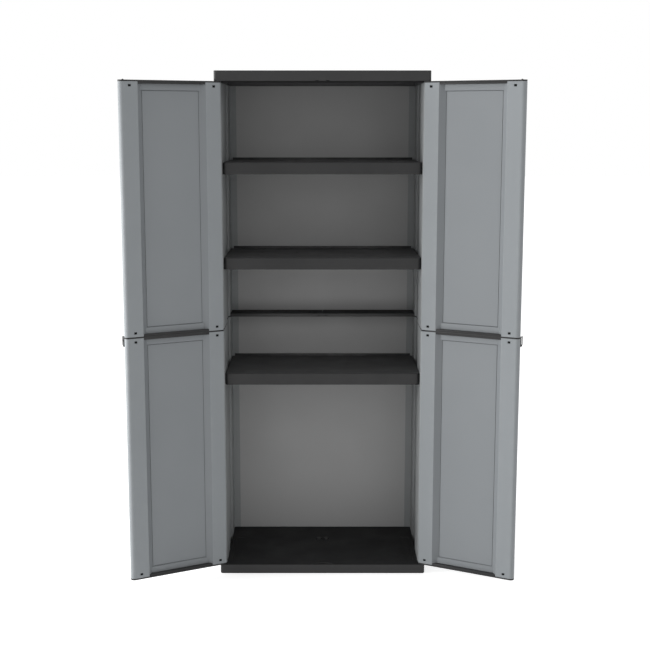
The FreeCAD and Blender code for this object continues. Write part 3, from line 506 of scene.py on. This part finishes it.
def is_broad(mesh, face):
    """True for a wide face. The width of a long face is twice its area divided by its outline."""
    corners = [mesh.vertices[index].co for index in face.vertices]
    outline = sum((end - start).length for start, end in zip(corners, corners[1:] + corners[:1]))
    return face.area > BROAD * outline / 2


def shade_flat(piece, chosen):
    """Shade some faces flat and keep the shading of the others."""
    mesh = piece.data
    normals = [corner.vector.copy() for corner in mesh.corner_normals]
    for face in mesh.polygons:
        if chosen(face):
            for corner in face.loop_indices:
                normals[corner] = face.normal.copy()
    mesh.normals_split_custom_set(normals)


# %% Soften a copy of a node
WELD = 0.00001
NO_SIZE = 0.000001
FLAT_ENOUGH = math.radians(1)
EDGE_ANGLE = math.radians(35)
RING_SHAPED = ("top_cap", "bottom_strip")


def softened(node_name, radius):
    piece = bpy.data.objects.new(node_name + "_moulded", nodes[node_name].data.copy())
    bpy.context.scene.collection.objects.link(piece)
    only(piece)
    bpy.ops.object.mode_set(mode="EDIT")
    bpy.ops.mesh.select_all(action="SELECT")
    bpy.ops.mesh.remove_doubles(threshold=WELD)
    bpy.ops.mesh.dissolve_limited(angle_limit=FLAT_ENOUGH)
    if node_name.endswith(RING_SHAPED):
        low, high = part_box(node_name)
        for direction in ((1, 0, 0), (0, 1, 0)):
            bpy.ops.mesh.select_all(action="SELECT")
            bpy.ops.mesh.bisect(plane_co=(low + high) / 2, plane_no=direction)
    bpy.ops.object.mode_set(mode="OBJECT")
    bevel = piece.modifiers.new("soft edges", "BEVEL")
    bevel.width = radius
    bevel.segments = 2
    bevel.limit_method = "ANGLE"
    bevel.angle_limit = EDGE_ANGLE
    bpy.ops.object.modifier_apply(modifier=bevel.name)
    bpy.ops.object.mode_set(mode="EDIT")
    bpy.ops.mesh.select_all(action="SELECT")
    bpy.ops.mesh.dissolve_degenerate(threshold=NO_SIZE)
    bpy.ops.object.mode_set(mode="OBJECT")
    bpy.ops.object.shade_smooth_by_angle(angle=EDGE_ANGLE)
    shade_flat(piece, lambda face: is_broad(piece.data, face))
    return piece


# %% Soften every node that has a radius
for name in nodes:
    radius = edge_radius(name)
    if radius:
        finish_piece(softened(name, radius), name)
print("softened pieces:", sum(1 for name in nodes if edge_radius(name)))

# %% [markdown]
# ## A line round the thin middle of a door
# The photograph shows a thin dark line all round the sunk middle of each door, at the foot of the
# slopes and of the end bands. It is a narrow groove. Two insets make it: the first one sinks the
# face and the second one lifts it again, so a groove shaped like a V stays between them. The doors
# stand open at an angle, so a face is found by its place in its own door: how far it is from the
# pivot, and how far inwards from the middle of the door's thickness. Both doors are measured as if
# they were the left one. The upper limit of the left hinge closes that door, so it is also the angle
# at which the door stands open.

# %% Places in a door
left_hinge = next(joint for joint in frame["joints"] if joint["name"] == "left_door_hinge")
PIVOT = Vector(left_hinge["pos_m"][:2])
OPEN_ANGLE = math.radians(left_hinge["range_deg"][1])
ALONG_DOOR = Vector((math.cos(OPEN_ANGLE), -math.sin(OPEN_ANGLE)))
INWARDS = Vector((math.sin(OPEN_ANGLE), math.cos(OPEN_ANGLE)))
FLUSH = 0.9999
ON_PLANE = 0.0001
print("left pivot:", PIVOT, "open angle:", left_hinge["range_deg"][1])


def in_door(point):
    """How far a point is along its door from the pivot, and inwards from the middle of the door."""
    from_pivot = Vector((-abs(point.x), point.y)) - PIVOT
    return from_pivot.dot(ALONG_DOOR), from_pivot.dot(INWARDS)


def looks_inwards(face):
    flipped = Vector((math.copysign(face.normal.x, -face.center.x * face.normal.x), face.normal.y))
    return flipped.dot(INWARDS) > FLUSH


# %% Groove
RECESS_ALONG = (0.046, 0.2663)
WEB_DEPTH = -0.005
GROOVE_WIDTH = 0.0016
GROOVE_DEPTH = 0.0012


def on_web_or_groove(face):
    along, depth = in_door(face.center)
    low, high = WEB_DEPTH - GROOVE_DEPTH, WEB_DEPTH + WELD
    return RECESS_ALONG[0] < along < RECESS_ALONG[1] and low < depth < high


def groove_round_web(piece):
    only(piece)
    bpy.ops.object.mode_set(mode="EDIT")
    bpy.ops.mesh.select_mode(type="FACE")
    bpy.ops.mesh.select_all(action="DESELECT")
    bpy.ops.object.mode_set(mode="OBJECT")
    for face in piece.data.polygons:
        _, depth = in_door(face.center)
        face.select = looks_inwards(face) and abs(depth - WEB_DEPTH) < ON_PLANE
    count = sum(1 for face in piece.data.polygons if face.select)
    bpy.ops.object.mode_set(mode="EDIT")
    bpy.ops.mesh.inset(thickness=GROOVE_WIDTH / 2, depth=-GROOVE_DEPTH)
    bpy.ops.mesh.inset(thickness=GROOVE_WIDTH / 2, depth=GROOVE_DEPTH)
    bpy.ops.mesh.select_mode(type="VERT")
    bpy.ops.object.mode_set(mode="OBJECT")
    shade_flat(piece, on_web_or_groove)
    return count


DOOR_PANELS = [name + "_moulded" for name in nodes if name.endswith("door_panel")]
for name in DOOR_PANELS:
    print(name, "faces with a groove:", groove_round_web(bpy.data.objects[name]))

# %% [markdown]
# ## Faces with a second material: painted light and shade
# Some faces get a second material whose colour paints light or shade on them. The sunk middle of a door is a shade
# darker than its stiles, and on its slopes this darker colour also paints the shade that falls there. The groove
# round it is a darker grey, which is painted shade. The floor of the base, the tops of the braces and the front of
# the rim in the cap are a darker black, which is painted shade. The tops of the shelves are a lighter black, which
# is a painted sheen standing in for the light that grazes them. Things slide about on the tops of the shelves and
# on the floor of the base, so these are coarser as well. The snap noses are near black, which paints the shade of
# their windows. The inside of the cap and the front of the brace are lighter, which is painted light. Each such
# face is found by where it lies or which way it looks, and gets a second material on the same piece. CAP_RIM is
# the place of a face, and the other measures lie between the faces that they part. NEARLY is how much of a normal
# points one way, which is 1 for a face that looks straight that way.

# %% Where each kind of face lies
NEARLY = 0.9
RECESS_DEPTH = 0.0115
GROOVE_SHOULDER = GROOVE_DEPTH / 4
NOSE_DEPTHS = (0.0112, 0.01175)
BELOW_POST_TOPS = 0.032
CAP_RIM = -0.1695
CAP_POCKETS = (1.605, 1.634)
CAP_INSIDE_X = 0.334
CAP_INSIDE_Y = 0.194


def second_material(name, material, chosen):
    """Give the chosen faces of a piece one more material."""
    piece = bpy.data.objects[name]
    piece.data.materials.append(material)
    for face in piece.data.polygons:
        if chosen(face):
            face.material_index = len(piece.data.materials) - 1


def looks_up(face):
    return face.normal.z > NEARLY


def on_base_floor(face):
    return looks_up(face) and face.center.z < BELOW_POST_TOPS


def in_recess(face):
    along, depth = in_door(face.center)
    return RECESS_ALONG[0] < along < RECESS_ALONG[1] and abs(depth) < RECESS_DEPTH


def in_groove(face):
    _, depth = in_door(face.center)
    return in_recess(face) and WEB_DEPTH - GROOVE_DEPTH < depth < WEB_DEPTH - GROOVE_SHOULDER


def looks_forward(face):
    return face.normal.y < -NEARLY


def on_cap_rim(face):
    return looks_forward(face) and abs(face.center.y - CAP_RIM) < ON_PLANE


def in_cap(face):
    across, back, up = face.center
    return CAP_POCKETS[0] < up < CAP_POCKETS[1] and abs(across) < CAP_INSIDE_X and abs(back) < CAP_INSIDE_Y


def on_nose(face):
    _, depth = in_door(face.center)
    return NOSE_DEPTHS[0] < depth < NOSE_DEPTHS[1]


# %% Second materials
for name in DOOR_PANELS:
    second_material(name, web_tone_and_painted_shade, in_recess)
    second_material(name, groove_painted_shade, in_groove)
for name in nodes:
    if "door" in name and name.endswith("_strip"):
        second_material(name + "_moulded", nose_painted_shade, on_nose)
    if name.endswith("_shelf"):
        second_material(name + "_moulded", top_painted_sheen, looks_up)
    if name.endswith("_brace"):
        second_material(name + "_moulded", painted_shade_plastic, looks_up)
        second_material(name + "_moulded", brace_painted_light, looks_forward)
second_material("base_tray_moulded", painted_shade_plastic, on_base_floor)
second_material("top_cap_moulded", cap_painted_light, in_cap)
second_material("top_cap_moulded", painted_shade_plastic, on_cap_rim)

# %% [markdown]
# ## Fluted back sheets
# The back is two sheets of hollow plastic board. Such a board is extruded as two skins with thin
# walls between them, and each skin sinks a little between the walls, so its face has fine upright
# flutes. One flute is modelled: a slab that is cut down its middle, where both skins move inwards.
# An Array modifier repeats it across the sheet, and the two ends are closed.

# %% One sheet
FLUTE = 0.0055
SKIN_SINK = 0.00012


def sheet_of_flutes(node_name):
    low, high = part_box(node_name)
    count = round((high.x - low.x) / FLUTE)
    width = (high.x - low.x) / count
    centre = Vector((low.x + width / 2, (low.y + high.y) / 2, (low.z + high.z) / 2))
    bpy.ops.object.select_all(action="DESELECT")
    bpy.ops.mesh.primitive_cube_add(size=1, location=centre)
    sheet = bpy.context.object
    sheet.name = node_name + "_fluted"
    sheet.scale = (width, high.y - low.y, high.z - low.z)
    bpy.ops.object.transform_apply(location=True, rotation=True, scale=True)
    bpy.ops.object.mode_set(mode="EDIT")
    bpy.ops.mesh.select_all(action="SELECT")
    bpy.ops.mesh.bisect(plane_co=centre, plane_no=(1, 0, 0))
    bpy.ops.mesh.select_all(action="DESELECT")
    bpy.ops.object.mode_set(mode="OBJECT")
    for face in sheet.data.polygons:
        face.select = abs(face.normal.x) > NEARLY
    bpy.ops.object.mode_set(mode="EDIT")
    bpy.ops.mesh.delete(type="ONLY_FACE")
    bpy.ops.object.mode_set(mode="OBJECT")
    for vertex in sheet.data.vertices:
        if abs(vertex.co.x - centre.x) < WELD:
            vertex.co.y += SKIN_SINK if vertex.co.y < centre.y else -SKIN_SINK
    repeat = sheet.modifiers.new("flutes", "ARRAY")
    repeat.count = count
    repeat.use_merge_vertices = True
    repeat.merge_threshold = WELD
    bpy.ops.object.modifier_apply(modifier=repeat.name)
    bpy.ops.object.mode_set(mode="EDIT")
    bpy.ops.mesh.select_all(action="DESELECT")
    bpy.ops.mesh.select_non_manifold(extend=False, use_boundary=True)
    bpy.ops.mesh.edge_face_add()
    bpy.ops.mesh.select_all(action="SELECT")
    bpy.ops.mesh.normals_make_consistent(inside=False)
    bpy.ops.object.mode_set(mode="OBJECT")
    bpy.ops.object.shade_smooth_by_angle(angle=EDGE_ANGLE)
    return sheet, count


for name in ("lower_back_sheet", "upper_back_sheet"):
    sheet, count = sheet_of_flutes(name)
    finish_piece(sheet, name)
    print(name, count, "flutes,", len(sheet.data.polygons), "faces")

# %% [markdown]
# ## Finish
# The visual model has to keep the size of the CAD model. The last step sets the view transform to Standard.

# %% Finish
bpy.context.scene.view_settings.view_transform = "Standard"
